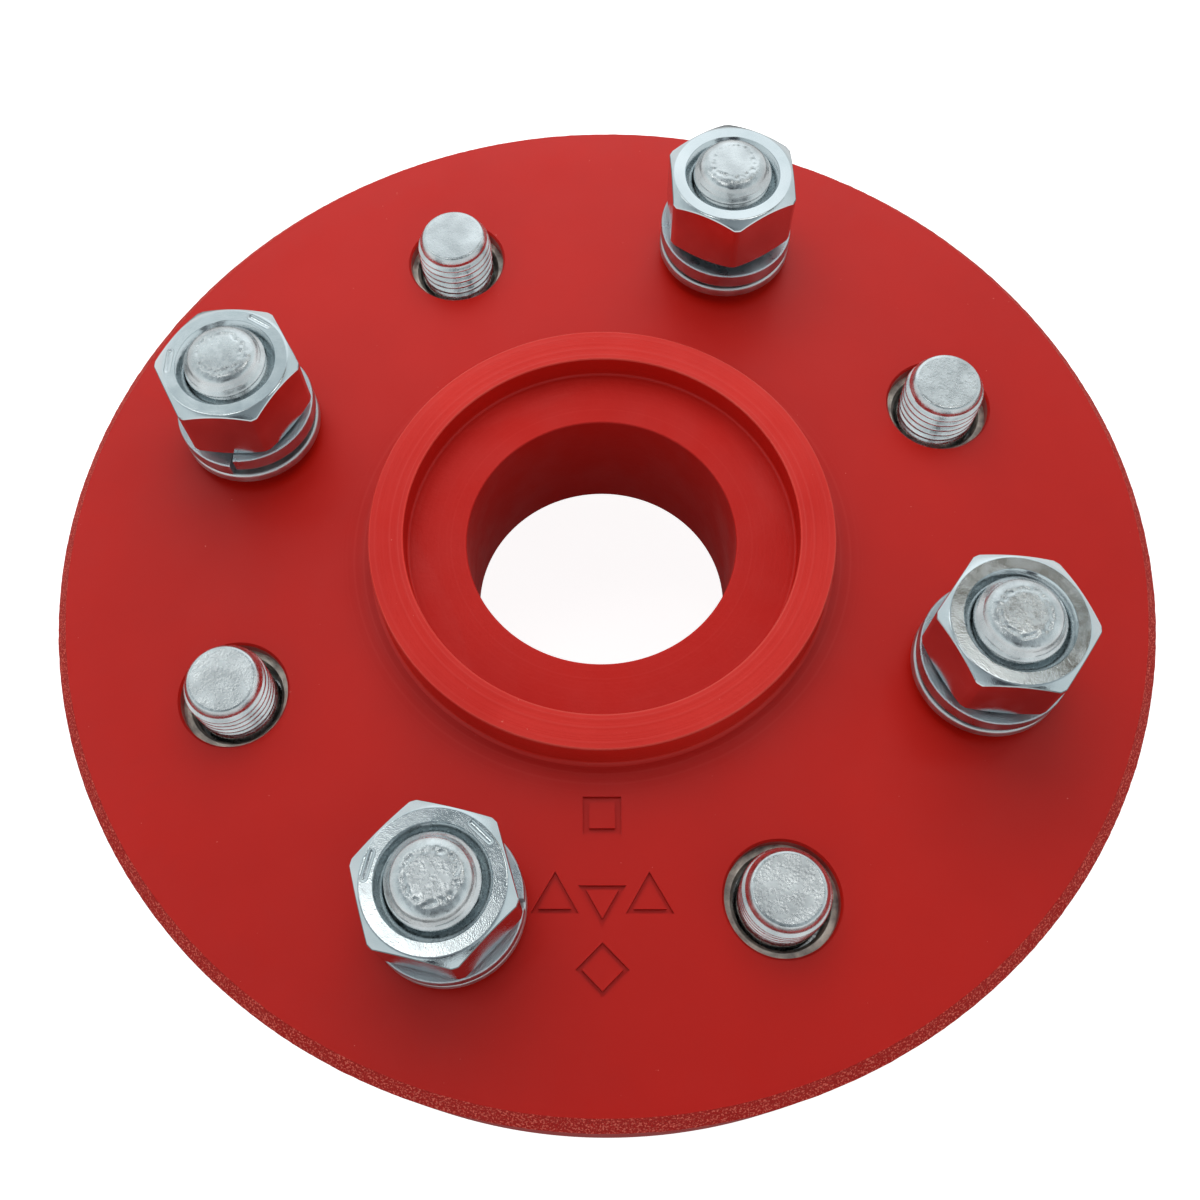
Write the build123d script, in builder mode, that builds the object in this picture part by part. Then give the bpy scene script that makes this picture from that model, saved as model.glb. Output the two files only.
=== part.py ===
"""Flexible isolating coupling flange: a moulded elastomer disc with eight studs.

Frame: millimetres, +Z out of the front (pilot) face, origin on the axis in the
plane of the front face. The front stations lie on +X, +Y, -X and -Y. The rear
stations lie halfway between them and carry the same fasteners pointing down.
"""
from build123d import *

import math
import os

# Disc
DISC_D = 152.4
DISC_THICKNESS = 25.4
RIM_CHAMFER = 1.6
PILOT_D = 63.5
PILOT_HEIGHT = 5.55
RECESS_D = 53.9
RECESS_FLOOR = 1.7
SHAFT_BORE_D = 37.3
REGISTER_D = 63.5
REGISTER_DEPTH = 5.4
EDGE_BREAK = 0.3
ROOT_FILLET = 0.6

# Stations
PITCH_CIRCLE_D = 107.95
STATION_COUNT = 4
STATION_STEP = 360 / STATION_COUNT
REAR_STATION_OFFSET = STATION_STEP / 2

# Steel inserts, bonded in the disc
INSERT_D = 15.875
INSERT_BORE_D = 11.9
INSERT_PROUD = 1.6
INSERT_RECESS = 2.0
INSERT_CHAMFER = 0.4
BOND_GROOVE_D = 14.4
BOND_GROOVE_WIDTH = 2.6
BOND_GROOVE_DEPTHS = (9.0, 15.5)
CLEARANCE_HOLE_D = 14.4

# Studs, 7/16 in with 20 threads per inch
THREAD_PITCH = 25.4 / 20
THREAD_MAJOR_D = 11.1125
THREAD_MINOR_D = 9.56
THREAD_CREST = 0.16
STUD_LONG_END = 19.3
STUD_SHORT_END = 6.0
STUD_LONG_CHAMFER = 1.2
STUD_SHORT_CHAMFER = 1.1
SHANK_INSET_LONG = 0.6
SHANK_INSET_SHORT = 4.0

# Washers and nuts
FLAT_WASHER_D = 19.6
FLAT_WASHER_BORE_D = 11.9
FLAT_WASHER_THICKNESS = 1.6
LOCK_WASHER_BORE_D = 11.3
LOCK_SECTION_WIDTH = 4.1
LOCK_SECTION_THICKNESS = 2.7
LOCK_FREE_RISE = 1.6
LOCK_GAP_ANGLE = 5
NUT_ACROSS_FLATS = 17.46
NUT_CORNER_R = 9.85
NUT_THICKNESS = 9.5
NUT_BORE_D = 11.24
NUT_FACE_R = 8.45
NUT_CHAMFER_ANGLE = 30
NUT_MOUTH_D = 13.0
NUT_MOUTH_DEPTH = 0.9
STACK_CLEARANCE = 0.1

# How far each fastener happens to be turned about its own stud, in degrees
FRONT_NUT_TURNS = (15.1, 52.5, 79.0, 67.4)
REAR_NUT_TURNS = (8, 41, 27, 55)
FRONT_SPLIT_TURNS = (75, 30, -72, 20)
REAR_SPLIT_TURNS = (200, 75, 310, 150)

# Heights above a face, worked out from the stack
FLAT_WASHER_BOTTOM = INSERT_PROUD
LOCK_WASHER_BOTTOM = FLAT_WASHER_BOTTOM + FLAT_WASHER_THICKNESS
LOCK_WASHER_TOP = LOCK_WASHER_BOTTOM + LOCK_SECTION_THICKNESS + LOCK_FREE_RISE
NUT_BOTTOM = LOCK_WASHER_TOP + STACK_CLEARANCE
NUT_TOP = NUT_BOTTOM + NUT_THICKNESS
INSERT_BOTTOM = INSERT_RECESS - DISC_THICKNESS


def station_plane(side, index, turn=0):
    """Plane on a station, at the disc's face, with +Z pointing out of the disc."""
    offset = 0 if side == "front" else REAR_STATION_OFFSET
    angle = math.radians(offset + index * STATION_STEP)
    face_z = 0 if side == "front" else -DISC_THICKNESS
    centre = (PITCH_CIRCLE_D / 2 * math.cos(angle), PITCH_CIRCLE_D / 2 * math.sin(angle), face_z)
    turned = math.radians(turn)
    x_dir = (math.cos(turned), math.sin(turned), 0)
    return Plane(origin=centre, x_dir=x_dir, z_dir=(0, 0, 1 if side == "front" else -1))


def station_planes(side):
    return [station_plane(side, index) for index in range(STATION_COUNT)]


def thread_outline(z_start, z_end):
    """Points up one side of a threaded stretch, one ridge for each pitch."""
    ridges = round((z_end - z_start) / THREAD_PITCH)
    pitch = (z_end - z_start) / ridges
    points = []
    for ridge in range(ridges):
        middle = z_start + (ridge + 0.5) * pitch
        points.append((THREAD_MINOR_D / 2, middle - pitch / 2))
        points.append((THREAD_MAJOR_D / 2, middle - THREAD_CREST / 2))
        points.append((THREAD_MAJOR_D / 2, middle + THREAD_CREST / 2))
    points.append((THREAD_MINOR_D / 2, z_end))
    return points


# The insert's outside, which is also the space that the disc is moulded around
with BuildPart() as insert_core:
    with BuildSketch(Plane.XZ):
        with Locations((0, INSERT_BOTTOM)):
            Rectangle(INSERT_D / 2, INSERT_PROUD - INSERT_BOTTOM, align=(Align.MIN, Align.MIN))
        for depth in BOND_GROOVE_DEPTHS:
            with Locations((BOND_GROOVE_D / 2, -depth)):
                Rectangle(INSERT_D, BOND_GROOVE_WIDTH, align=(Align.MIN, Align.CENTER), mode=Mode.SUBTRACT)
    revolve(axis=Axis.Z)

with BuildPart() as insert_shape:
    add(insert_core.part)
    Cylinder(INSERT_BORE_D / 2, 3 * DISC_THICKNESS, mode=Mode.SUBTRACT)
    end_rings = insert_shape.edges().filter_by(GeomType.CIRCLE).group_by(Axis.Z)
    chamfer(end_rings[0] + end_rings[-1], INSERT_CHAMFER)

# Stud, with its long end up: a thread, a plain shank pressed in the insert, a thread
with BuildPart() as stud_shape:
    shank_top = INSERT_PROUD - SHANK_INSET_LONG
    shank_bottom = INSERT_BOTTOM + SHANK_INSET_SHORT
    long_tip = STUD_LONG_END
    short_tip = -DISC_THICKNESS - STUD_SHORT_END
    with BuildSketch(Plane.XZ):
        with BuildLine():
            Polyline(
                (0, short_tip),
                (THREAD_MAJOR_D / 2 - STUD_SHORT_CHAMFER, short_tip),
                *thread_outline(short_tip + STUD_SHORT_CHAMFER, shank_bottom),
                (INSERT_BORE_D / 2, shank_bottom),
                (INSERT_BORE_D / 2, shank_top),
                *thread_outline(shank_top, long_tip - STUD_LONG_CHAMFER),
                (THREAD_MAJOR_D / 2 - STUD_LONG_CHAMFER, long_tip),
                (0, long_tip),
                close=True,
            )
        make_face()
    revolve(axis=Axis.Z)

with BuildPart() as flat_washer_shape:
    with BuildSketch(Plane.XY.offset(FLAT_WASHER_BOTTOM)):
        Circle(FLAT_WASHER_D / 2)
        Circle(FLAT_WASHER_BORE_D / 2, mode=Mode.SUBTRACT)
    extrude(amount=FLAT_WASHER_THICKNESS)
    outer_rings = flat_washer_shape.edges().filter_by(GeomType.CIRCLE).sort_by(SortBy.RADIUS)[-2:]
    fillet(outer_rings, EDGE_BREAK)

# Split spring washer: one left-hand turn that drops from its high end to its low end
with BuildPart() as lock_washer_shape:
    mean_radius = LOCK_WASHER_BORE_D / 2 + LOCK_SECTION_WIDTH / 2
    turns = 1 - LOCK_GAP_ANGLE / 360
    middle_z = LOCK_WASHER_BOTTOM + LOCK_SECTION_THICKNESS / 2
    with BuildLine():
        coil = Helix(
            pitch=LOCK_FREE_RISE / turns,
            height=LOCK_FREE_RISE,
            radius=mean_radius,
            center=(0, 0, middle_z),
            lefthand=True,
        )
    with BuildSketch(Plane(origin=coil @ 0, x_dir=(1, 0, 0), z_dir=coil % 0)):
        Rectangle(LOCK_SECTION_WIDTH, LOCK_SECTION_THICKNESS - 2 * STACK_CLEARANCE)
    sweep(is_frenet=True)

# Hexagon nut with both faces chamfered and both mouths of its bore countersunk
with BuildPart() as nut_shape:
    with BuildSketch(Plane.XY.offset(NUT_BOTTOM)):
        RegularPolygon(NUT_ACROSS_FLATS / 2, 6, major_radius=False)
    extrude(amount=NUT_THICKNESS)
    chamfer_drop = (NUT_CORNER_R - NUT_FACE_R) * math.tan(math.radians(NUT_CHAMFER_ANGLE))
    with BuildSketch(Plane.XZ):
        with BuildLine():
            Polyline(
                (NUT_MOUTH_D / 2, NUT_BOTTOM),
                (NUT_FACE_R, NUT_BOTTOM),
                (NUT_CORNER_R, NUT_BOTTOM + chamfer_drop),
                (NUT_CORNER_R, NUT_TOP - chamfer_drop),
                (NUT_FACE_R, NUT_TOP),
                (NUT_MOUTH_D / 2, NUT_TOP),
                (NUT_BORE_D / 2, NUT_TOP - NUT_MOUTH_DEPTH),
                (NUT_BORE_D / 2, NUT_BOTTOM + NUT_MOUTH_DEPTH),
                close=True,
            )
        make_face()
    revolve(axis=Axis.Z, mode=Mode.INTERSECT)

# Disc: pilot ring and recess in front, register behind, one bore through both
with BuildPart() as flange_disc:
    with BuildSketch(Plane.XZ):
        with BuildLine():
            Polyline(
                (SHAFT_BORE_D / 2, RECESS_FLOOR),
                (RECESS_D / 2, RECESS_FLOOR),
                (RECESS_D / 2, PILOT_HEIGHT - EDGE_BREAK),
                (RECESS_D / 2 + EDGE_BREAK, PILOT_HEIGHT),
                (PILOT_D / 2 - EDGE_BREAK, PILOT_HEIGHT),
                (PILOT_D / 2, PILOT_HEIGHT - EDGE_BREAK),
                (PILOT_D / 2, 0),
                (DISC_D / 2 - RIM_CHAMFER, 0),
                (DISC_D / 2, -RIM_CHAMFER),
                (DISC_D / 2, RIM_CHAMFER - DISC_THICKNESS),
                (DISC_D / 2 - RIM_CHAMFER, -DISC_THICKNESS),
                (REGISTER_D / 2 + EDGE_BREAK, -DISC_THICKNESS),
                (REGISTER_D / 2, EDGE_BREAK - DISC_THICKNESS),
                (REGISTER_D / 2, REGISTER_DEPTH - DISC_THICKNESS),
                (SHAFT_BORE_D / 2, REGISTER_DEPTH - DISC_THICKNESS),
                close=True,
            )
        make_face()
        pilot_root = vertices().sort_by_distance((PILOT_D / 2, 0, 0))[0]
        fillet(pilot_root, ROOT_FILLET)
    revolve(axis=Axis.Z)
    for side in ("front", "rear"):
        with Locations(*station_planes(side)):
            Cylinder(CLEARANCE_HOLE_D / 2, 3 * DISC_THICKNESS, mode=Mode.SUBTRACT)
            add(insert_core.part, mode=Mode.SUBTRACT)


def write_piece(shape, label, plane):
    """Place a shape that is drawn on its own stud, and write it as one node."""
    with BuildPart() as piece:
        with Locations(plane):
            add(shape.part)
    piece.part.label = label
    export_step(piece.part, f"parts/{label}.step")


os.makedirs("parts", exist_ok=True)
flange_disc.part.label = "flange_disc"
export_step(flange_disc.part, "parts/flange_disc.step")

for side, nut_turns, split_turns in (
    ("front", FRONT_NUT_TURNS, FRONT_SPLIT_TURNS),
    ("rear", REAR_NUT_TURNS, REAR_SPLIT_TURNS),
):
    for index in range(STATION_COUNT):
        number = index + 1
        write_piece(insert_shape, f"{side}_insert_{number}", station_plane(side, index))
        write_piece(stud_shape, f"{side}_stud_{number}", station_plane(side, index))
        write_piece(flat_washer_shape, f"{side}_flat_washer_{number}", station_plane(side, index))
        split_plane = station_plane(side, index, split_turns[index])
        write_piece(lock_washer_shape, f"{side}_lock_washer_{number}", split_plane)
        nut_plane = station_plane(side, index, nut_turns[index])
        write_piece(nut_shape, f"{side}_nut_{number}", nut_plane)
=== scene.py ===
"""Looks of a flexible coupling flange: a cast red disc with plated studs, nuts and washers.

Everything is in metres in the frame of the CAD model. Each fastener is drawn on its own
stud, with z = 0 at the disc's face and +z out of the disc, and is then put on its station.
"""

import math

import bmesh
import bpy
import numpy as np
from mathutils import Matrix, Vector, noise


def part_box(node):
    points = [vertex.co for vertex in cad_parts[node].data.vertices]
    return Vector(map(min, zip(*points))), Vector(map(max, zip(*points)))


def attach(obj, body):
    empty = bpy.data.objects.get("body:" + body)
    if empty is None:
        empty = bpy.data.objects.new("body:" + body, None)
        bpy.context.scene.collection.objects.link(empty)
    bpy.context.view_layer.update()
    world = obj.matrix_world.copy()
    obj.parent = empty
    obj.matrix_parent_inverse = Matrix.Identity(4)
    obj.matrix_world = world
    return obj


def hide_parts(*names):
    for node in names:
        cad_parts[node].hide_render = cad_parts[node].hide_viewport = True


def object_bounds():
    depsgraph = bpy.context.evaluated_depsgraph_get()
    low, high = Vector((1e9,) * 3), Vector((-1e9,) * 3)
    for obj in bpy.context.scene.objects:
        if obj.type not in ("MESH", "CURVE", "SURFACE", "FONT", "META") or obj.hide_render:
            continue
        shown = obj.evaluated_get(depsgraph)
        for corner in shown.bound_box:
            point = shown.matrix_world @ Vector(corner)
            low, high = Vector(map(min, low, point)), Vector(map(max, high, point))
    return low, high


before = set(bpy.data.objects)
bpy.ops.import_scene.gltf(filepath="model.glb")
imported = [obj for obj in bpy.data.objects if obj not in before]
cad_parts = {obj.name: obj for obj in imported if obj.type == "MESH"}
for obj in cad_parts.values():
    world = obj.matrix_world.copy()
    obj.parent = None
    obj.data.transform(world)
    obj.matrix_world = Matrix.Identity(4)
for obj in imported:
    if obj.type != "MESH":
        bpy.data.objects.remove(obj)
cad_low, cad_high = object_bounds()

MM = 0.001
TINY = 1e-6
TAU = 2 * math.pi
SIDES = ("front", "rear")
STATIONS = (1, 2, 3, 4)

# How finely each round shape is divided
DISC_SEGMENTS = 1024
HOLE_SEGMENTS = 128
STUD_SEGMENTS = 96
NUT_SEGMENTS = 288
FLAT_WASHER_SEGMENTS = 160
LOCK_WASHER_STEPS = 150

# Disc sizes that the CAD box doesn't show
BORE_R = 18.65 * MM
RECESS_R = 26.95 * MM
RECESS_FLOOR = 1.7 * MM
PILOT_R = 31.75 * MM
REGISTER_R = 31.75 * MM
REGISTER_DEPTH = 5.4 * MM
RIM_CHAMFER = 1.6 * MM
HOLE_R = 7.2 * MM

# Thread of a 7/16 in stud, 20 turns to the inch. The flats of its crest and root are shares
# of half a turn, and the crest's rounding is a share of the flank.
THREAD_PITCH = 25.4 * MM / 20
THREAD_MAJOR_R = 5.556 * MM
THREAD_DEPTH = 0.60 * MM
CREST_SHARE = 0.03
ROOT_SHARE = 0.04
CREST_ROUNDING = 0.35
LEVELS_PER_TURN = 12
SHANK_R = 5.95 * MM

# Nuts: 11/16 in across flats, and how far each one is turned, in degrees
NUT_HALF_FLATS = 8.73 * MM
NUT_CORNER_R = 9.85 * MM
NUT_CORNER_ROUNDING = 0.45 * MM
NUT_FACE_R = 8.45 * MM
NUT_MOUTH_R = 6.7 * MM
NUT_BORE_R = 4.98 * MM
NUT_TURNS = {"front": (15.1, 52.5, 79.0, 67.4), "rear": (8, 41, 27, 55)}
STAMPED_NUTS = ("front_nut_3", "front_nut_4", "rear_nut_1", "rear_nut_2")

# Where each lock washer is split, in degrees
SPLIT_TURNS = {"front": (75, 30, -72, 20), "rear": (200, 75, 310, 150)}


# ---------------------------------------------------------------- places

def middle(node):
    """Centre of a node's box at rest."""
    low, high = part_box(node)
    return (low + high) / 2


def outer_radius(node):
    """Half of a round node's width."""
    low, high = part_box(node)
    return (high.x - low.x) / 2


def face_height(side):
    """Level of the disc's front or rear face."""
    low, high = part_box("flange_disc")
    return 0.0 if side == "front" else low.z


def placement(side, number):
    """Matrix from a fastener's own frame to its station."""
    spot = middle(f"{side}_stud_{number}")
    out = Vector((0, 0, 1 if side == "front" else -1))
    x_axis = Vector((1, 0, 0))
    y_axis = out.cross(x_axis)
    matrix = Matrix((x_axis, y_axis, out)).transposed().to_4x4()
    matrix.translation = (spot.x, spot.y, face_height(side))
    return matrix


def heights(node, side):
    """A node's lowest and highest point above its own face."""
    low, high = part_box(node)
    face = face_height(side)
    if side == "front":
        return low.z - face, high.z - face
    return face - high.z, face - low.z


# ---------------------------------------------------------------- mesh building

def finish_mesh(name, mesh):
    """Clean a mesh and link it as an object."""
    work = bmesh.new()
    work.from_mesh(mesh)
    bmesh.ops.remove_doubles(work, verts=work.verts, dist=1e-7)
    bmesh.ops.dissolve_degenerate(work, edges=work.edges, dist=1e-8)
    bmesh.ops.recalc_face_normals(work, faces=work.faces)
    work.to_mesh(mesh)
    work.free()
    made = bpy.data.objects.new(name, mesh)
    bpy.context.scene.collection.objects.link(made)
    return made


def grid_mesh(name, rows, closed_section=False, closed_round=True, caps=False, zones=None):
    """Quads over rows of points, shape (rows, around, 3). zones gives each row gap a material."""
    count, around = rows.shape[:2]
    row_gaps = count if closed_section else count - 1
    column_gaps = around if closed_round else around - 1
    faces = []
    slots = []
    for i in range(row_gaps):
        below = i * around
        above = (i + 1) % count * around
        for j in range(column_gaps):
            k = (j + 1) % around
            faces.append((below + j, below + k, above + k, above + j))
            slots.append(zones[i] if zones else 0)
    if caps and closed_round:
        faces.append(tuple(range(around)))
        faces.append(tuple((count - 1) * around + j for j in range(around)))
        slots += [zones[0] if zones else 0, zones[-1] if zones else 0]
    if caps and not closed_round:
        faces.append(tuple(i * around for i in range(count)))
        faces.append(tuple(i * around + around - 1 for i in range(count)))
        slots += [0, 0]
    mesh = bpy.data.meshes.new(name)
    mesh.from_pydata(rows.reshape(-1, 3).tolist(), [], faces)
    mesh.polygons.foreach_set("material_index", slots)
    return mesh


def spun_rows(radii, levels, angles):
    """Rows of points from radii and levels of shape (rows, around)."""
    radii, levels = np.broadcast_arrays(radii, levels)
    return np.stack([radii * np.cos(angles), radii * np.sin(angles), levels], -1)


def lathe_rows(profile, segments):
    """Rows of points from an (r, z) outline turned about the Z axis."""
    points = np.array(profile, float)
    angles = np.arange(segments) * TAU / segments
    around = np.ones(segments)
    return spun_rows(points[:, :1] * around, points[:, 1:] * around, angles)


def arc(centre, radius, start, end, steps):
    """Points of an arc in (r, z), from start to end degrees."""
    turns = np.radians(np.linspace(start, end, steps))
    return [(centre[0] + radius * math.cos(t), centre[1] + radius * math.sin(t)) for t in turns]


def bake_modifiers(target):
    """Put the result of an object's modifiers in its mesh."""
    graph = bpy.context.evaluated_depsgraph_get()
    evaluated = target.evaluated_get(graph)
    mesh = bpy.data.meshes.new_from_object(
        evaluated, preserve_all_data_layers=True, depsgraph=graph)
    target.modifiers.clear()
    target.data = mesh


def subtract(target, cutter):
    """Take the cutter's volume out of the target's mesh and delete the cutter."""
    cut = target.modifiers.new("cut", "BOOLEAN")
    cut.operation = "DIFFERENCE"
    cut.solver = "EXACT"
    cut.object = cutter
    bake_modifiers(target)
    bpy.data.objects.remove(cutter)


def even_shading(target, sharp_degrees):
    """Let each broad face keep its own normal, so that only the narrow edges look rounded."""
    target.data.shade_smooth()
    target.data.set_sharp_from_angle(angle=math.radians(sharp_degrees))
    weigh = target.modifiers.new("weigh", "WEIGHTED_NORMAL")
    weigh.keep_sharp = True
    weigh.weight = 90
    bake_modifiers(target)


def joined(name, objects):
    """One object out of several, by their places."""
    work = bmesh.new()
    for part in objects:
        part.data.transform(part.matrix_world)
        work.from_mesh(part.data)
        bpy.data.objects.remove(part)
    mesh = bpy.data.meshes.new(name)
    work.to_mesh(mesh)
    work.free()
    made = bpy.data.objects.new(name, mesh)
    bpy.context.scene.collection.objects.link(made)
    return made


# ---------------------------------------------------------------- threads

def thread_radius(angles, levels):
    """Radius of the right-hand external thread at these places."""
    share = np.mod(levels / THREAD_PITCH - angles / TAU, 1)
    from_crest = np.abs(2 * share - 1)
    flank = np.clip((from_crest - CREST_SHARE) / (1 - CREST_SHARE - ROOT_SHARE), 0, 1)
    rounded = flank ** 2 / (2 * CREST_ROUNDING)
    sunk = np.where(flank < CREST_ROUNDING, rounded, flank - CREST_ROUNDING / 2)
    return THREAD_MAJOR_R - THREAD_DEPTH * sunk / (1 - CREST_ROUNDING / 2)


def thread_levels(low, high, angles):
    """Levels that follow the helix, held between low and high. Shape (rows, around)."""
    turns = math.ceil((high - low) / THREAD_PITCH) + 1
    steps = LEVELS_PER_TURN
    shares = np.arange(-steps, turns * steps + 1)[:, None] / steps
    first_turn = math.floor(low / THREAD_PITCH)
    skewed = (first_turn + shares + angles[None, :] / TAU) * THREAD_PITCH
    return np.clip(skewed, low, high)


def ring(radius, level, angles):
    """One row of constant radius and level."""
    return np.full(len(angles), radius), np.full(len(angles), level)


def stack_rows(parts, angles):
    """Rows of points from a list of (radii, levels), each one row or several."""
    radii = np.concatenate([np.atleast_2d(r) for r, z in parts])
    levels = np.concatenate([np.atleast_2d(z) for r, z in parts])
    return spun_rows(radii, levels, angles)


# ---------------------------------------------------------------- fasteners

def stud_rows(side, number, angles):
    """A stud in its own frame: short flat end below, pressed shank, long domed end above."""
    short_tip, long_tip = heights(f"{side}_stud_{number}", side)
    insert_low, insert_high = heights(f"{side}_insert_{number}", side)
    shank_low = insert_low + 4.0 * MM
    shank_high = insert_high - 0.6 * MM
    flat_r = 4.55 * MM
    cone_r = 4.97 * MM
    cone_top = short_tip + 0.75 * MM
    soft = 0.08 * MM
    parts = [ring(flat_r * share, short_tip, angles) for share in (0, 0.25, 0.5, 0.75, 0.9)]
    parts.append(ring(flat_r - soft, short_tip, angles))
    parts.append(ring(flat_r + 0.5 * soft, short_tip + 1.2 * soft, angles))
    parts.append(ring(cone_r - 0.5 * soft, cone_top - 1.2 * soft, angles))

    run_in = 0.8 * THREAD_PITCH
    levels = thread_levels(cone_top, shank_low, angles)
    fade = np.clip((levels - cone_top) / run_in, 0, 1)
    parts.append((cone_r + (thread_radius(angles, levels) - cone_r) * fade, levels))
    parts += [ring(SHANK_R, shank_low, angles), ring(SHANK_R, shank_high, angles)]

    crown_r = 4.80 * MM
    crown_level = long_tip - 0.95 * MM
    crown_slope = 0.9
    crown_rows = 28
    centre_r = 2.9 * MM
    levels = thread_levels(shank_high, crown_level, angles)
    crown_cone = crown_r + crown_slope * (crown_level - levels)
    parts.append((np.minimum(thread_radius(angles, levels), crown_cone), levels))
    for radius in np.linspace(crown_r, 0, crown_rows)[1:]:
        share = max(0.0, (radius - centre_r) / (crown_r - centre_r))
        rise = (long_tip - crown_level) * math.sqrt(1 - share ** 2)
        parts.append(ring(radius, crown_level + rise, angles))
    return stack_rows(parts, angles)


def hammer_end(rows, level, depth, seed):
    """Small dents in everything above a level, deepest around the flat middle of the tip."""
    dents_per_metre = 1900
    middle_r = 3 * MM
    edge_wander = 0.5 * MM
    edge_width = 0.28 * MM
    outside_share = 0.22
    inside_share = 0.03
    for row in rows:
        for point in row:
            if point[2] > level:
                spot = Vector(point) * dents_per_metre + Vector((seed * 7.3, 0, 0))
                shift = noise.noise(spot) + 0.7 * noise.noise(spot * 2.3)
                past = math.hypot(point[0], point[1]) - middle_r
                past += edge_wander * noise.noise(spot * 0.3)
                edge = math.exp(-(past / edge_width) ** 2)
                weight = max(edge, outside_share if past > 0 else inside_share)
                point[2] -= depth * max(0.0, 0.5 + 0.9 * shift) * weight


def make_stud(side, number):
    """Threaded stud. Slots: 0 the stud, 1 its hammered long tip, 2 the flat of its short end."""
    angles = np.linspace(0, TAU, STUD_SEGMENTS + 1)
    rows = stud_rows(side, number, angles)
    short_tip, long_tip = heights(f"{side}_stud_{number}", side)
    dent_depth = 0.16 * MM
    hammer_end(rows, long_tip - 0.94 * MM, dent_depth, number)
    mesh = grid_mesh(f"{side}_stud_{number}_threaded", rows, closed_round=False)
    for face in mesh.polygons:
        rough_top = face.center.z > long_tip - 0.9 * MM
        short_flat = face.center.z < short_tip + 0.02 * MM
        face.material_index = 1 if rough_top else 2 if short_flat else 0
    return mesh


def hexagon_radius(angles, turn_degrees):
    """Radius of a nut's hexagon, with lightly rounded corners. A corner is at turn_degrees."""
    sixth = TAU / 6
    from_corner = np.mod(angles - math.radians(turn_degrees) + sixth / 2, sixth) - sixth / 2
    flat = NUT_HALF_FLATS / np.cos(sixth / 2 - np.abs(from_corner))
    centre = (NUT_HALF_FLATS - NUT_CORNER_ROUNDING) / math.cos(sixth / 2)
    across = centre * np.sin(from_corner)
    reach = np.sqrt(np.maximum(NUT_CORNER_ROUNDING ** 2 - across ** 2, 0))
    rounded = centre * np.cos(from_corner) + reach
    within = np.abs(across) < NUT_CORNER_ROUNDING * math.sin(sixth / 2)
    return np.minimum(np.where(within, rounded, flat), NUT_CORNER_R)


def make_nut(side, number):
    """Hexagon nut with chamfered faces, countersunk mouths and an internal thread.

    Slots: 0 the faces, chamfers and thread, 1 the six flats.
    """
    turn = NUT_TURNS[side][number - 1]
    low, high = heights(f"{side}_nut_{number}", side)
    angles = math.radians(turn) + np.linspace(0, TAU, NUT_SEGMENTS + 1)
    hexagon = hexagon_radius(angles, turn)
    chamfer_degrees = 30
    slope = math.tan(math.radians(chamfer_degrees))
    drop = np.maximum(hexagon - NUT_FACE_R, 0) * slope
    soft = 0.10 * MM

    parts = [ring(NUT_MOUTH_R, low, angles), ring(NUT_MOUTH_R + soft, low, angles)]
    parts += [ring(NUT_FACE_R - 2 * soft, low, angles), ring(NUT_FACE_R - soft, low, angles)]
    parts.append(ring(NUT_FACE_R + soft, low + soft * slope, angles))
    parts.append((hexagon - soft, low + drop - soft * slope))
    parts.append((hexagon, low + drop + soft))
    parts.append((hexagon, low + drop + (high - low - 2 * drop) / 2))
    parts.append((hexagon, high - drop - soft))
    parts.append((hexagon - soft, high - drop + soft * slope))
    parts.append(ring(NUT_FACE_R + soft, high - soft * slope, angles))
    parts += [ring(NUT_FACE_R - soft, high, angles), ring(NUT_FACE_R - 2 * soft, high, angles)]
    parts += [ring(NUT_MOUTH_R + 2 * soft, high, angles), ring(NUT_MOUTH_R + soft, high, angles)]
    parts.append(ring(NUT_MOUTH_R, high - soft, angles))

    levels = thread_levels(low, high, angles)[::-1]
    clearance = 0.06 * MM
    mouth_width = 1.2 * MM
    mouth_depth = 0.95 * MM
    thread = np.maximum(thread_radius(angles, levels) + clearance, NUT_BORE_R)
    from_face = np.minimum(levels - low, high - levels)
    mouth_cone = NUT_MOUTH_R - from_face * mouth_width / mouth_depth
    parts.append((np.maximum(thread, mouth_cone), levels))
    rows = stack_rows(parts, angles)
    name = f"{side}_nut_{number}_threaded"
    mesh = grid_mesh(name, rows, closed_section=True, closed_round=False)
    # Slot 1, the six flats, later takes a much darker copy of the plating: painted shade.
    upright = 0.3
    for face in mesh.polygons:
        outside = math.hypot(face.center.x, face.center.y) > NUT_FACE_R
        face.material_index = 1 if outside and abs(face.normal.z) < upright else 0
    return mesh


def bar_rows(face):
    """A rounded groove, lengthwise in X: straight above the face, half an oval below it."""
    half_length = 1.5 * MM
    half_width = 0.5 * MM
    depth = 0.24 * MM
    section = [(half_width, face + depth)]
    for t in np.linspace(0, 1.5, 8):
        section.append((half_width * math.cos(t), face - depth * math.sin(t)))
    rows = []
    for width, level in section:
        outline = arc((half_length, 0), width, -90, 90, 9)
        outline += arc((-half_length, 0), width, 90, 270, 9)
        rows.append([(x, y, level) for x, y in outline])
    return np.array(rows)


def grade_bars(node, side, turn):
    """Two plain bars, stamped across two of the nut's corners, as a cutter."""
    low, high = heights(node, side)
    from_axis = 7.6 * MM
    shift = Matrix.Translation((from_axis, 0, 0))
    crosswise = Matrix.Rotation(TAU / 4, 4, "Z")
    bars = []
    for corner in (0, 120):
        bar = finish_mesh("cutter", grid_mesh("cutter", bar_rows(high), caps=True))
        along = Matrix.Rotation(math.radians(turn + corner), 4, "Z")
        bar.matrix_world = along @ shift @ crosswise
        bars.append(bar)
    return joined("bars", bars)


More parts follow.
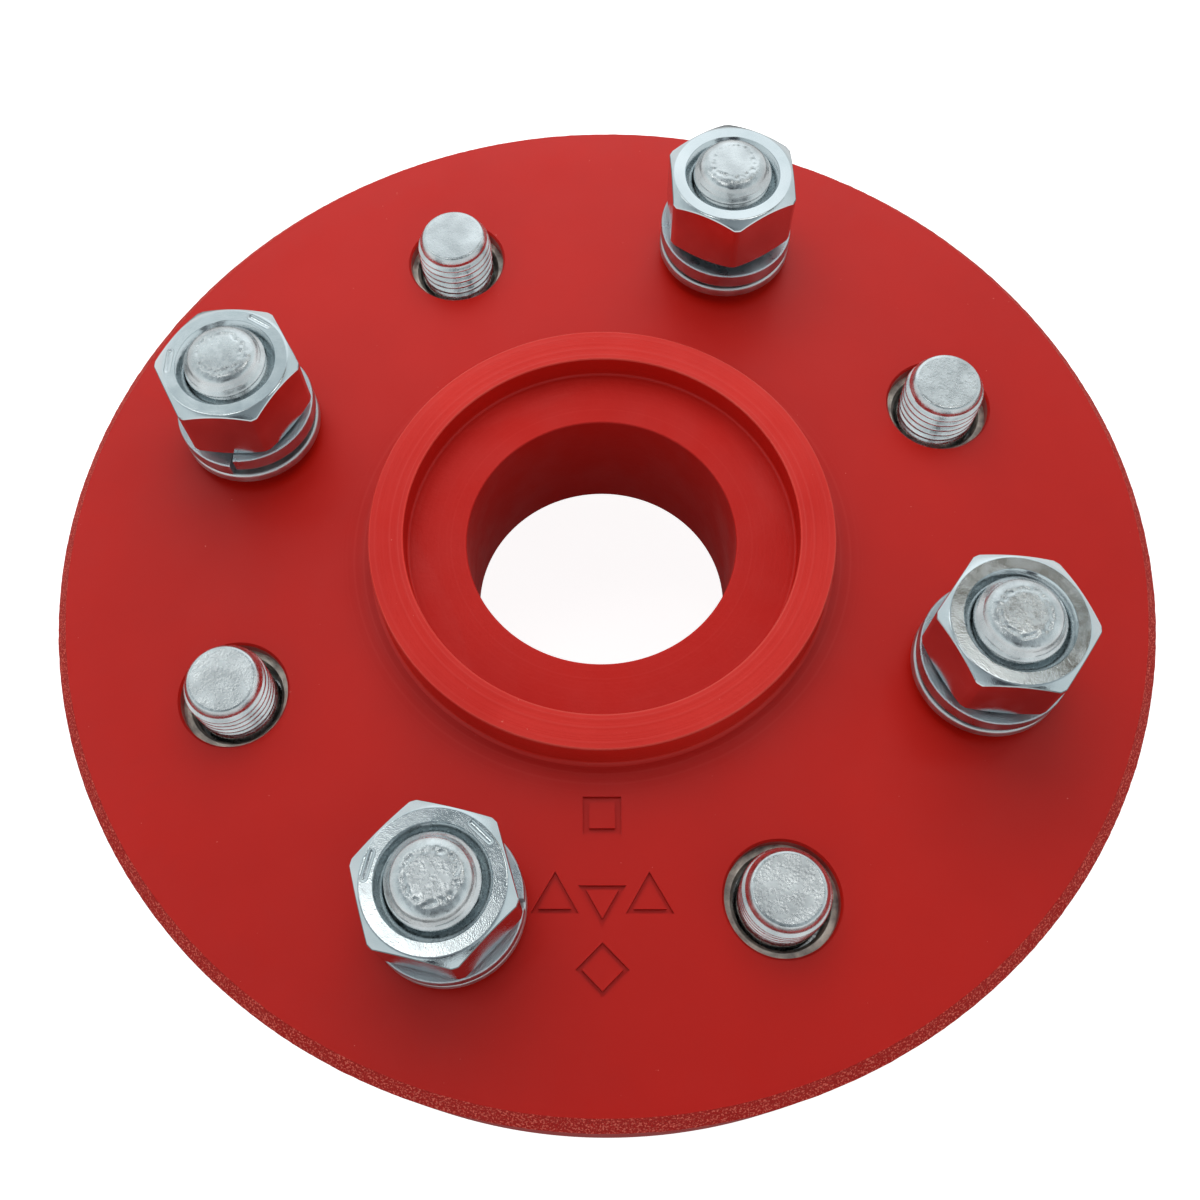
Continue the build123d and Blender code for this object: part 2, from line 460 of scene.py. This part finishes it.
def rounded_section(width, height, rounding, steps=4):
    """Closed outline of a rounded rectangle about (0, 0), as (across, up) points."""
    half_w = width / 2 - rounding
    half_h = height / 2 - rounding
    corners = [(half_w, half_h, 0), (-half_w, half_h, 90)]
    corners += [(-half_w, -half_h, 180), (half_w, -half_h, 270)]
    points = []
    for x, y, start in corners:
        points += arc((x, y), rounding, start, start + 90, steps)
    return points


def make_lock_washer(side, number):
    """Split spring washer that drops from its high end to its low end."""
    node = f"{side}_lock_washer_{number}"
    low, high = heights(node, side)
    outer_r = outer_radius(node)
    thickness = 2.5 * MM
    width = 4.1 * MM
    rise = high - low - thickness
    sweep = math.radians(355)
    outline = np.array(rounded_section(width, thickness, 0.28 * MM))
    shares = np.linspace(0, 1, LOCK_WASHER_STEPS)
    rows = []
    for across, up in outline:
        angles = shares * sweep
        radius = outer_r - width / 2 + across
        level = low + thickness / 2 + rise * (1 - shares) + up
        rows.append(np.stack([radius * np.cos(angles), radius * np.sin(angles), level], -1))
    name = f"{node}_sprung"
    return grid_mesh(name, np.array(rows), closed_section=True, closed_round=False, caps=True)


def make_flat_washer(side, number):
    """Punched washer: a rolled edge above, a sharper one below."""
    node = f"{side}_flat_washer_{number}"
    low, high = heights(node, side)
    outer_r = outer_radius(node)
    inner_r = SHANK_R
    roll = 0.45 * MM
    break_r = 0.15 * MM
    profile = arc((outer_r - roll, high - roll), roll, 90, 0, 6)
    profile += arc((outer_r - break_r, low + break_r), break_r, 0, -90, 3)
    profile += [(inner_r + break_r, low), (inner_r, low + break_r)]
    profile += [(inner_r, high - break_r), (inner_r + break_r, high)]
    rows = lathe_rows(profile, FLAT_WASHER_SEGMENTS)
    return grid_mesh(f"{node}_punched", rows, closed_section=True)


# ---------------------------------------------------------------- disc

DISC_ZONES = ("cast_face", "turned_ring", "turned_face", "recess", "bore_wall",
              "edge_painted_highlight", "rasped_edge", "side_wall")


def disc_outline():
    """Closed (r, z) outline of the disc, and the zone of each stretch from point to point."""
    low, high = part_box("flange_disc")
    rim_r = high.x
    edge_r = rim_r - RIM_CHAMFER
    register = low.z + REGISTER_DEPTH
    crisp = 0.25 * MM
    fillet = 0.4 * MM
    root = 0.6 * MM
    turned_margin = 4.6 * MM
    even_margin = 6 * MM
    steps = 9
    chamfer_shares = [k / steps for k in range(steps + 1)]
    stretches = [
        ("recess", arc((BORE_R + crisp, RECESS_FLOOR - crisp), crisp, 180, 90, 4)),
        ("recess", arc((RECESS_R - fillet, RECESS_FLOOR + fillet), fillet, 270, 360, 5)),
        ("recess", [(RECESS_R, high.z - crisp)]),
        # The ring's two crisp edge arcs are painted a paler red: a painted highlight along its
        # edges.
        ("edge_painted_highlight", arc((RECESS_R + crisp, high.z - crisp), crisp, 180, 90, 4)[1:]),
        ("turned_ring", [(PILOT_R - crisp, high.z)]),
        ("edge_painted_highlight", arc((PILOT_R - crisp, high.z - crisp), crisp, 90, 0, 4)[1:]),
        ("turned_ring", arc((PILOT_R + root, root), root, 180, 270, 6)),
        ("turned_face", [(PILOT_R + turned_margin, 0)]),
        ("cast_face", [(edge_r - even_margin, 0)]),
        ("cast_face", [(edge_r + RIM_CHAMFER * k, -RIM_CHAMFER * k) for k in chamfer_shares]),
        ("side_wall", [(rim_r, low.z / 2), (rim_r, low.z + RIM_CHAMFER)]),
        ("rasped_edge", [(edge_r, low.z)]),
        ("cast_face", [(REGISTER_R + crisp, low.z), (REGISTER_R, low.z + crisp)]),
        ("recess", [(REGISTER_R, register), (BORE_R + crisp, register)]),
        ("recess", [(BORE_R, register + crisp)]),
    ]
    outline = []
    zones = []
    for zone, points in stretches:
        for point in points:
            if outline:
                zones.append(zone)
            outline.append(point)
    zones.append("bore_wall")
    slots = [DISC_ZONES.index(zone) for zone in zones]
    for i, (r, z) in enumerate(outline):
        next_r, next_z = outline[(i + 1) % len(outline)]
        if r > edge_r - TINY and -RIM_CHAMFER - TINY < next_z < -TINY:
            slots[i] = DISC_ZONES.index("rasped_edge")
    return outline, slots


def rasp(rows):
    """Roughen the front edge's chamfer, as a file leaves it."""
    depth = 0.10 * MM
    coarse = 900
    fine = 2400
    slant = 0.7
    reach = RIM_CHAMFER * 1.02
    for row in rows:
        for point in row:
            radius = math.hypot(point[0], point[1])
            if radius > cad_high.x - reach and -reach < point[2] < 1e-9:
                around = Vector((point[0], point[1], point[2] * 0.6))
                shift = noise.noise(around * coarse) + 0.7 * noise.noise(around * fine)
                sink = depth * (0.55 + 0.45 * shift)
                point[0] -= point[0] / radius * sink * slant
                point[1] -= point[1] / radius * sink * slant
                point[2] -= sink * slant


def station_cutter(side, number):
    """What the disc leaves out at a station: the insert's outside and a clearance hole past it."""
    node = f"{side}_insert_{number}"
    low, high = heights(node, side)
    insert_r = outer_radius(node)
    mouth = 0.3 * MM
    mouth_r = HOLE_R + mouth
    back = face_height("rear")
    past = 3 * MM
    profile = [(0, high + past), (insert_r, high + past), (insert_r, low), (HOLE_R, low)]
    profile += [(HOLE_R, back + mouth), (mouth_r, back), (mouth_r, back - past), (0, back - past)]
    cutter = finish_mesh("cutter", grid_mesh("cutter", lathe_rows(profile, HOLE_SEGMENTS)))
    cutter.matrix_world = placement(side, number)
    return cutter


def outline_cutter(corners, stroke, depth):
    """A closed stroke along a polygon, as a cutter that reaches depth below the face."""
    above = 1 * MM
    half = stroke / 2
    sharpest = 0.3
    count = len(corners)
    rows = []
    for shift, level in ((half, above), (half, -depth), (-half, -depth), (-half, above)):
        row = []
        for i, corner in enumerate(corners):
            before = (corner - corners[i - 1]).normalized()
            after = (corners[(i + 1) % count] - corner).normalized()
            outward = Vector((after.y, -after.x))
            normal = (Vector((before.y, -before.x)) + outward).normalized()
            reach = shift / max(sharpest, normal.dot(outward))
            row.append((corner.x + normal.x * reach, corner.y + normal.y * reach, level))
        rows.append(row)
    return finish_mesh("cutter", grid_mesh("cutter", np.array(rows), closed_section=True))


def polygon(sides, radius, turn):
    """Corners of a regular polygon. The first one is at turn degrees."""
    angles = [math.radians(turn) + TAU * k / sides for k in range(sides)]
    return [Vector((radius * math.cos(a), radius * math.sin(a))) for a in angles]


def mark_cutters():
    """Plain marks in three rows near the edge: a square, three triangles and a diamond."""
    azimuth = math.radians(-69.4)
    to_marks = Matrix.Rotation(azimuth + TAU / 4, 4, "Z")
    size = 2.9 * MM
    depth = 0.45 * MM
    bold = 0.8 * MM
    fine = 0.55 * MM
    # From the axis and across, in millimetres, then the sides, the turn and the stroke
    marks = [(38.7, 0, 4, 45, bold)]
    marks += [(49.3, -5.9, 3, 90, fine), (49.3, 0, 3, -90, fine), (49.3, 5.9, 3, 90, fine)]
    marks += [(57.8, 0, 4, 0, fine)]
    cutters = []
    for reach, across, sides, turn, stroke in marks:
        cutter = outline_cutter(polygon(sides, size, turn), stroke, depth)
        cutter.matrix_world = to_marks @ Matrix.Translation((across * MM, -reach * MM, 0))
        cutters.append(cutter)
    return cutters


def make_disc():
    """The red disc in one piece, with a material for each zone of its outline."""
    outline, slots = disc_outline()
    rows = lathe_rows(outline, DISC_SEGMENTS)
    rasp(rows)
    mesh = grid_mesh("coupling_disc", rows, closed_section=True, zones=slots)
    disc = finish_mesh("coupling_disc", mesh)
    for zone in DISC_ZONES:
        disc.data.materials.append(RED[zone])
    cutters = [station_cutter(side, number) for side in SIDES for number in STATIONS]
    subtract(disc, joined("cutters", cutters + mark_cutters()))
    even_shading(disc, 32)
    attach(disc, "root")
    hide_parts("flange_disc")


# ---------------------------------------------------------------- materials

def new_material(name):
    """A node material, its nodes, its links and its shader."""
    material = bpy.data.materials.new(name)
    material.use_nodes = True
    nodes = material.node_tree.nodes
    return material, nodes, material.node_tree.links, nodes["Principled BSDF"]


def object_noise(nodes, links, scale, detail=4.0):
    """Noise in object coordinates. scale is in waves to the metre."""
    place = nodes.new("ShaderNodeTexCoord")
    texture = nodes.new("ShaderNodeTexNoise")
    texture.inputs["Scale"].default_value = scale
    texture.inputs["Detail"].default_value = detail
    texture.inputs["Roughness"].default_value = 0.6
    links.new(place.outputs["Object"], texture.inputs["Vector"])
    return texture.outputs["Fac"]


def ramp(nodes, links, source, stops):
    """Colour ramp with (place, colour or grey) stops."""
    node = nodes.new("ShaderNodeValToRGB")
    elements = node.color_ramp.elements
    while len(elements) < len(stops):
        elements.new(0.5)
    for element, (place, colour) in zip(elements, stops):
        element.position = place
        grey = isinstance(colour, (int, float))
        element.color = (colour, colour, colour, 1) if grey else (*colour, 1)
    links.new(source, node.inputs["Fac"])
    return node.outputs["Color"]


def mixed(nodes, links, share, colour, other):
    """A colour mixed with another, constant one, by a share from 0 to 1."""
    mix = nodes.new("ShaderNodeMix")
    mix.data_type = "RGBA"
    links.new(share, mix.inputs["Factor"])
    links.new(colour, mix.inputs["A"])
    mix.inputs["B"].default_value = (*other, 1)
    return mix.outputs["Result"]


def bump(nodes, links, source, distance, under=None):
    """Normals from a height map. distance is how high a value of 1 stands, in metres."""
    node = nodes.new("ShaderNodeBump")
    node.inputs["Distance"].default_value = distance
    node.inputs["Strength"].default_value = 1.0
    links.new(source, node.inputs["Height"])
    if under:
        links.new(under, node.inputs["Normal"])
    return node.outputs["Normal"]


def ring_lines(nodes, links, spacing):
    """Fine concentric lines about the Z axis, from the distance to the axis."""
    place = nodes.new("ShaderNodeTexCoord")
    flatten = nodes.new("ShaderNodeVectorMath")
    flatten.operation = "MULTIPLY"
    flatten.inputs[1].default_value = (1, 1, 0)
    length = nodes.new("ShaderNodeVectorMath")
    length.operation = "LENGTH"
    combine = nodes.new("ShaderNodeCombineXYZ")
    texture = nodes.new("ShaderNodeTexNoise")
    texture.inputs["Scale"].default_value = 1 / spacing
    texture.inputs["Detail"].default_value = 2
    links.new(place.outputs["Object"], flatten.inputs[0])
    links.new(flatten.outputs["Vector"], length.inputs[0])
    links.new(length.outputs["Value"], combine.inputs["X"])
    links.new(combine.outputs["Vector"], texture.inputs["Vector"])
    return texture.outputs["Fac"]


def red_material(name, dark, light, rough, grain, specks=None, lines=None, gleam=0.36):
    """Cast polyurethane.

    rough is (low, high) and grain is (waves to the metre, height). specks is (waves to the
    metre, start, end, colour). lines is (spacing, height, glint share) of the turning marks;
    the paler streaks along them are painted highlights.
    """
    material, nodes, links, shader = new_material(name)
    cloud = object_noise(nodes, links, 28)
    colour = ramp(nodes, links, cloud, [(0.3, dark), (0.7, light)])
    if specks:
        waves, start, end, speck_colour = specks
        spots = object_noise(nodes, links, waves, detail=2)
        share = ramp(nodes, links, spots, [(start, 0), (end, 1)])
        colour = mixed(nodes, links, share, colour, speck_colour)
    patch = object_noise(nodes, links, 140)
    gloss = ramp(nodes, links, patch, [(0.35, rough[0]), (0.65, rough[1])])
    links.new(gloss, shader.inputs["Roughness"])
    normal = bump(nodes, links, object_noise(nodes, links, grain[0], detail=3), grain[1])
    if lines:
        spacing, height, glint_share = lines
        marks = ring_lines(nodes, links, spacing)
        normal = bump(nodes, links, marks, height, under=normal)
        # Paler streaks along the turning marks: painted highlights where the grooves would catch
        # light.
        painted_glints = ramp(nodes, links, marks, [(0.54, 0), (0.72, glint_share)])
        colour = mixed(nodes, links, painted_glints, colour, (0.62, 0.06, 0.05))
    links.new(colour, shader.inputs["Base Color"])
    links.new(normal, shader.inputs["Normal"])
    shader.inputs["IOR"].default_value = 1.45
    shader.inputs["Specular IOR Level"].default_value = gleam
    return material


def make_reds():
    """The disc's one moulded colour as each surface was left, with painted highlights on edges and
    turning marks.
    """
    dark = (0.425, 0.0044, 0.0008)
    light = (0.480, 0.0062, 0.0016)
    cut = (0.590, 0.0200, 0.0120)
    # Paler red for the crisp edges: a painted highlight.
    edge_highlight_red = (0.56, 0.05, 0.035)
    pale = (0.62, 0.16, 0.13)
    specks = (1300, 0.76, 0.79, pale)
    torn = (4000, 0.53, 0.61, (0.78, 0.130, 0.090))
    face_grain = (2400, 0.00001)
    ring_grain = (1800, 0.00003)
    turned_grain = (2000, 0.00002)
    recess_grain = (1500, 0.00005)
    bore_grain = (1500, 0.00003)
    edge_highlight_grain = (1500, 0.00006)
    rasped_grain = (2600, 0.0003)
    wall_grain = (1200, 0.00003)
    return {
        "cast_face": red_material(
            "red_cast_face", dark, light, (0.36, 0.44), face_grain, specks),
        "turned_ring": red_material(
            "red_turned_ring", light, cut, (0.38, 0.52), ring_grain, specks,
            lines=(0.5 * MM, 0.08 * MM, 0.32)),
        "turned_face": red_material(
            "red_turned_face", dark, light, (0.38, 0.48), turned_grain, specks,
            lines=(0.6 * MM, 0.04 * MM, 0.20)),
        "recess": red_material(
            "red_recess", dark, light, (0.46, 0.60), recess_grain,
            lines=(0.6 * MM, 0.02 * MM, 0.15)),
        "bore_wall": red_material(
            "red_bore_wall", dark, dark, (0.50, 0.64), bore_grain,
            lines=(0.6 * MM, 0.02 * MM, 0.0), gleam=0.12),
        # The crisp edges: a paler red that is a painted highlight.
        "edge_painted_highlight": red_material(
            "red_worn_edge", cut, edge_highlight_red, (0.40, 0.55), edge_highlight_grain),
        "rasped_edge": red_material(
            "red_rasped_edge", dark, dark, (0.45, 0.65), rasped_grain, torn),
        "side_wall": red_material(
            "red_side_wall", dark, light, (0.40, 0.55), wall_grain),
    }


def metal_material(name, dark, light, rough, grain, blotch=90, sparkle=None):
    """Plated or bare steel.

    rough is (low, high). grain and sparkle are (waves to the metre, height), and blotch is in
    waves to the metre.
    """
    material, nodes, links, shader = new_material(name)
    shader.inputs["Metallic"].default_value = 1.0
    cloud = object_noise(nodes, links, blotch)
    colour = ramp(nodes, links, cloud, [(0.35, dark), (0.65, light)])
    links.new(colour, shader.inputs["Base Color"])
    patch = object_noise(nodes, links, blotch * 4)
    gloss = ramp(nodes, links, patch, [(0.35, rough[0]), (0.65, rough[1])])
    links.new(gloss, shader.inputs["Roughness"])
    fine = object_noise(nodes, links, grain[0], detail=3)
    normal = bump(nodes, links, fine, grain[1])
    if sparkle:
        normal = bump(nodes, links, crystals(nodes, links, sparkle[0]), sparkle[1], under=normal)
    links.new(normal, shader.inputs["Normal"])
    return material


def crystals(nodes, links, scale):
    """Grains of plating: cells that each dip towards their own middle."""
    place = nodes.new("ShaderNodeTexCoord")
    cells = nodes.new("ShaderNodeTexVoronoi")
    cells.inputs["Scale"].default_value = scale
    links.new(place.outputs["Object"], cells.inputs["Vector"])
    return cells.outputs["Distance"]


def make_metals():
    """Zinc plating as it looks on each surface, painted shade on nut flats, and the inserts' dull
    steel.
    """
    nut = ((0.56, 0.62, 0.64), (0.72, 0.77, 0.79))
    # A much darker copy of the nut's plating for its six flats: painted shade in place of their
    # dark reflections.
    nut_flats_painted_shade = ((0.19, 0.23, 0.27), (0.33, 0.38, 0.42))
    stud = ((0.50, 0.53, 0.54), (0.76, 0.80, 0.81))
    end = ((0.44, 0.46, 0.46), (0.76, 0.80, 0.81))
    lock = ((0.42, 0.46, 0.49), (0.60, 0.64, 0.67))
    flat = ((0.46, 0.49, 0.50), (0.66, 0.69, 0.70))
    steel = ((0.24, 0.21, 0.19), (0.82, 0.74, 0.64))
    return {
        "nut": metal_material(
            "zinc_nut", *nut, (0.09, 0.20), (1800, 0.000008), sparkle=(7000, 0.000004)),
        "nut_flats_painted_shade": metal_material(
            "zinc_nut_side", *nut_flats_painted_shade, (0.10, 0.22), (1600, 0.000006)),
        "stud": metal_material(
            "zinc_stud", *stud, (0.20, 0.32), (2200, 0.000012),
            blotch=260, sparkle=(2600, 0.000008)),
        "stud_end": metal_material(
            "zinc_stud_end", *end, (0.30, 0.46), (3400, 0.00003),
            blotch=420, sparkle=(5200, 0.00002)),
        "short_end": metal_material(
            "zinc_short_end", *stud, (0.08, 0.16), (2600, 0.000002),
            blotch=420, sparkle=(6000, 0.0000025)),
        "lock": metal_material(
            "zinc_lock_washer", *lock, (0.26, 0.42), (1500, 0.00003), sparkle=(6000, 0.00003)),
        "flat": metal_material(
            "zinc_flat_washer", *flat, (0.34, 0.48), (1500, 0.00002)),
        "insert": metal_material(
            "dull_insert_steel", *steel, (0.30, 0.52), (1800, 0.00006), blotch=400),
    }


RED = make_reds()
METAL = make_metals()


# ---------------------------------------------------------------- assembly

def settle(mesh, side, number, finishes, body, node, sharp=32):
    """Put a fastener's mesh on its station, in place of its CAD node."""
    piece = finish_mesh(mesh.name, mesh)
    if node in STAMPED_NUTS:
        subtract(piece, grade_bars(node, side, NUT_TURNS[side][number - 1]))
    piece.data.transform(placement(side, number))
    piece.data.materials.clear()
    for finish in finishes:
        piece.data.materials.append(METAL[finish])
    even_shading(piece, sharp)
    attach(piece, body)
    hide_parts(node)


def make_fasteners(side, number):
    """One station: its stud, nut and washers, and the steel look of its CAD insert."""
    washer_body = f"{side}_washers_{number}"
    node = f"{side}_stud_{number}"
    finishes = ("stud", "stud_end", "short_end")
    settle(make_stud(side, number), side, number, finishes, "root", node, 60)
    node = f"{side}_nut_{number}"
    # The flats take the darker plating, which is painted shade.
    finishes = ("nut", "nut_flats_painted_shade")
    settle(make_nut(side, number), side, number, finishes, node, node, 20)
    node = f"{side}_lock_washer_{number}"
    washer = make_lock_washer(side, number)
    split = math.radians(SPLIT_TURNS[side][number - 1])
    washer.transform(Matrix.Rotation(split, 4, "Z"))
    settle(washer, side, number, ("lock",), washer_body, node)
    node = f"{side}_flat_washer_{number}"
    washer = make_flat_washer(side, number)
    settle(washer, side, number, ("flat",), washer_body, node)
    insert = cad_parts[f"{side}_insert_{number}"]
    for holder in insert.material_slots:
        holder.material = METAL["insert"]


# ---------------------------------------------------------------- studio

def toward(azimuth, elevation):
    """Unit vector, with azimuth from +X towards +Y, in degrees."""
    turn = math.radians(azimuth)
    rise = math.radians(elevation)
    return (math.cos(rise) * math.cos(turn), math.cos(rise) * math.sin(turn), math.sin(rise))


def sky_spot(nodes, links, under, colour, azimuth, elevation, inner, outer):
    """Paint a soft round patch of a colour on the sky. inner and outer are angles in degrees."""
    place = nodes.new("ShaderNodeTexCoord")
    facing = nodes.new("ShaderNodeVectorMath")
    facing.operation = "DOT_PRODUCT"
    facing.inputs[1].default_value = toward(azimuth, elevation)
    links.new(place.outputs["Generated"], facing.inputs[0])
    edge = nodes.new("ShaderNodeMapRange")
    edge.interpolation_type = "SMOOTHSTEP"
    edge.inputs["From Min"].default_value = math.cos(math.radians(outer))
    edge.inputs["From Max"].default_value = math.cos(math.radians(inner))
    links.new(facing.outputs["Value"], edge.inputs["Value"])
    return mixed(nodes, links, edge.outputs["Result"], under, colour)


# What hangs in the room, each mirrored in some of the metal as the camera sees it:
# colour, azimuth, elevation, and where its edge starts and ends, in degrees
LAMP = (2.4, 2.4, 2.35)
UNLIT = (0.03, 0.03, 0.04)
SKY_SPOTS = (
    (UNLIT, 294, 61, 8, 13),
    (UNLIT, 326, 47, 6, 10),
    (UNLIT, 285, 42, 5, 9),
    ((1.15, 1.22, 1.25), 106, 38, 9, 25),
    ((3.0, 3.0, 2.95), 168, 77.5, 3.5, 6),
    (LAMP, 153, 58.6, 4.2, 5.2),
    ((0.19, 0.165, 0.135), 74, 64.5, 7.5, 11),
    ((0.03, 0.04, 0.07), 88, 77.5, 2.2, 3.2),
    (LAMP, 71, 70, 5.4, 6.4),
)


def make_world():
    """A pale room, darker overhead, with lamps, a bright window and unlit patches."""
    world = bpy.data.worlds.new("soft_studio")
    bpy.context.scene.world = world
    world.use_nodes = True
    nodes = world.node_tree.nodes
    links = world.node_tree.links
    place = nodes.new("ShaderNodeTexCoord")
    split = nodes.new("ShaderNodeSeparateXYZ")
    links.new(place.outputs["Generated"], split.inputs["Vector"])
    stops = [(0.44, (0.22, 0.22, 0.22)), (0.5, (0.94, 0.94, 0.94)), (0.62, (0.82, 0.84, 0.85))]
    stops += [(0.88, (0.76, 0.84, 0.86)), (0.93, (0.44, 0.50, 0.53)), (1, (0.22, 0.25, 0.27))]
    height = nodes.new("ShaderNodeMapRange")
    height.inputs["From Min"].default_value = -1
    links.new(split.outputs["Z"], height.inputs["Value"])
    sky = ramp(nodes, links, height.outputs["Result"], stops)
    for colour, azimuth, elevation, inner, outer in SKY_SPOTS:
        sky = sky_spot(nodes, links, sky, colour, azimuth, elevation, inner, outer)
    links.new(sky, nodes["Background"].inputs["Color"])


def make_light(name, place, size, watts):
    """A soft round light that isn't mirrored in the metal, because the sky has its own lamps."""
    light = bpy.data.lights.new(name, "AREA")
    light.shape = "DISK"
    light.size = size
    light.energy = watts
    made = bpy.data.objects.new(name, light)
    bpy.context.scene.collection.objects.link(made)
    made.location = place
    made.rotation_euler = (-Vector(place)).to_track_quat("-Z", "Y").to_euler()
    made.visible_glossy = False
    made.visible_camera = False


def make_floor():
    """A pale floor under the part, lit evenly and kept out of the metal's reflections."""
    size = 8.0
    mesh = bpy.data.meshes.new("floor")
    corners = [(-size, -size), (size, -size), (size, size), (-size, size)]
    mesh.from_pydata([(x, y, cad_low.z) for x, y in corners], [], [(0, 1, 2, 3)])
    floor = bpy.data.objects.new("floor", mesh)
    bpy.context.scene.collection.objects.link(floor)
    material, nodes, links, shader = new_material("pale_floor")
    paper = object_noise(nodes, links, 40)
    links.new(ramp(nodes, links, paper, [(0.0, 0.44), (1.0, 0.48)]), shader.inputs["Base Color"])
    shader.inputs["Roughness"].default_value = 0.9
    shader.inputs["Emission Color"].default_value = (1, 1, 1, 1)
    shader.inputs["Emission Strength"].default_value = 0.90
    mesh.materials.append(material)
    floor.visible_glossy = False
    floor.visible_diffuse = False


def make_camera():
    """The camera stands over the near edge of the disc and looks down at it."""
    data = bpy.data.cameras.new("camera")
    camera = bpy.data.objects.new("camera", data)
    bpy.context.scene.collection.objects.link(camera)
    bpy.context.scene.camera = camera
    data.sensor_width = 36
    data.lens = 38.12
    data.shift_x = 0.0252
    data.shift_y = 0.0030
    data.clip_start = 0.01
    heading = math.radians(24.110)
    pitch = math.radians(66.184)
    roll = math.radians(-3.398)
    level = math.cos(pitch)
    forward = Vector((-math.sin(heading) * level, math.cos(heading) * level, -math.sin(pitch)))
    place = Matrix.Translation((0.027886, -0.074242, 0.159162))
    turned = forward.to_track_quat("-Z", "Y").to_matrix() @ Matrix.Rotation(roll, 3, "Z")
    camera.matrix_world = place @ turned.to_4x4()


# ---------------------------------------------------------------- scene

for leftover in ("Cube", "Light", "Camera"):
    if leftover in bpy.data.objects:
        bpy.data.objects.remove(bpy.data.objects[leftover])

make_camera()
make_world()
make_light("key", (-0.06, 0.11, 0.16), 0.26, 0.27)
make_floor()
make_disc()
for side in SIDES:
    for number in STATIONS:
        make_fasteners(side, number)

bpy.context.scene.view_settings.view_transform = "Standard"
